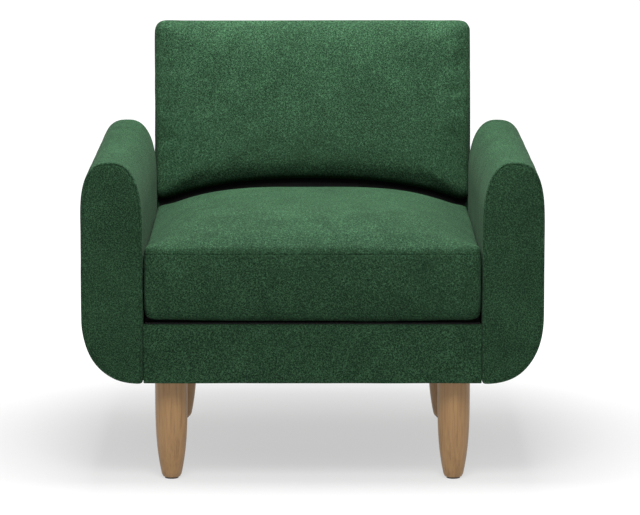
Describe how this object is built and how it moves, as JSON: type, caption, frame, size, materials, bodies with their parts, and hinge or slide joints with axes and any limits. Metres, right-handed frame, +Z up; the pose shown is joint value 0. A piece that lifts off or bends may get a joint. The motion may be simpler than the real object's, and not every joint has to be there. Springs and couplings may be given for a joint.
{
  "type": "armchair",
  "caption": "Single-seat upholstered armchair with a loose cushion, rounded slab arms, a reclined padded back and turned, tapered wooden legs.",
  "frame": {"origin": "on the floor, under the middle of the chair's overall width and depth", "axes": "+X to the right as seen from in front, +Y towards the back, +Z up; the chair faces -Y"},
  "size_m": [0.87, 0.86, 0.813],
  "materials": {
    "green_pile_fabric": "matte",
    "leg_wood": "satin",
    "frame_wood": "matte",
    "foam": "matte",
    "felt": "matte",
    "black_cloth": "matte",
    "zinc_steel": "satin",
    "zip_tape": "matte",
    "glide_plastic": "matte"
  },
  "bodies": {
    "frame": {"arm_bolt_front_left": "zinc_steel", "arm_bolt_front_right": "zinc_steel", "arm_bolt_rear_left": "zinc_steel", "arm_bolt_rear_right": "zinc_steel", "arm_bottom_rail_left": "frame_wood", "arm_bottom_rail_right": "frame_wood", "arm_cover_left": "green_pile_fabric", "arm_cover_right": "green_pile_fabric", "arm_foam_left": "foam", "arm_foam_right": "foam", "arm_front_panel_left": "frame_wood", "arm_front_panel_right": "frame_wood", "arm_rear_panel_left": "frame_wood", "arm_rear_panel_right": "frame_wood", "arm_top_rail_left": "frame_wood", "arm_top_rail_right": "frame_wood", "back_bottom_rail": "frame_wood", "back_bracket_left": "zinc_steel", "back_bracket_right": "zinc_steel", "back_cover": "green_pile_fabric", "back_foam": "foam", "back_outside_panel": "green_pile_fabric", "back_top_rail": "frame_wood", "back_upright_left": "frame_wood", "back_upright_right": "frame_wood", "back_webbing_1": "black_cloth", "back_webbing_2": "black_cloth", "back_webbing_3": "black_cloth", "corner_block_front_left": "frame_wood", "corner_block_front_right": "frame_wood", "corner_block_rear_left": "frame_wood", "corner_block_rear_right": "frame_wood", "dust_cover": "black_cloth", "front_rail_cover": "green_pile_fabric", "glide_front_left": "glide_plastic", "glide_front_right": "glide_plastic", "glide_rear_left": "glide_plastic", "glide_rear_right": "glide_plastic", "hanger_bolt_front_left": "zinc_steel", "hanger_bolt_front_right": "zinc_steel", "hanger_bolt_rear_left": "zinc_steel", "hanger_bolt_rear_right": "zinc_steel", "leg_front_left": "leg_wood", "leg_front_right": "leg_wood", "leg_rear_left": "leg_wood", "leg_rear_right": "leg_wood", "seat_deck_pad": "black_cloth", "seat_front_rail": "frame_wood", "seat_rear_rail": "frame_wood", "seat_side_rail_left": "frame_wood", "seat_side_rail_right": "frame_wood", "seat_spring_1": "zinc_steel", "seat_spring_2": "zinc_steel", "seat_spring_3": "zinc_steel", "seat_spring_4": "zinc_steel", "spring_insulator": "felt"},
    "seat_cushion": {"seat_cushion_cover": "green_pile_fabric", "seat_cushion_foam": "foam", "seat_cushion_zip": "zip_tape"},
    "zip_slider": {"zip_slider": "zinc_steel"}
  },
  "joints": [
    {"name": "seat_cushion_lift", "type": "slide", "parent": "frame", "child": "seat_cushion", "axis": [0, 0, 1], "range_m": [0, 0.3]},
    {"name": "zip_slide", "type": "slide", "parent": "seat_cushion", "child": "zip_slider", "axis": [1, 0, 0], "range_m": [0, 0.42]}
  ]
}
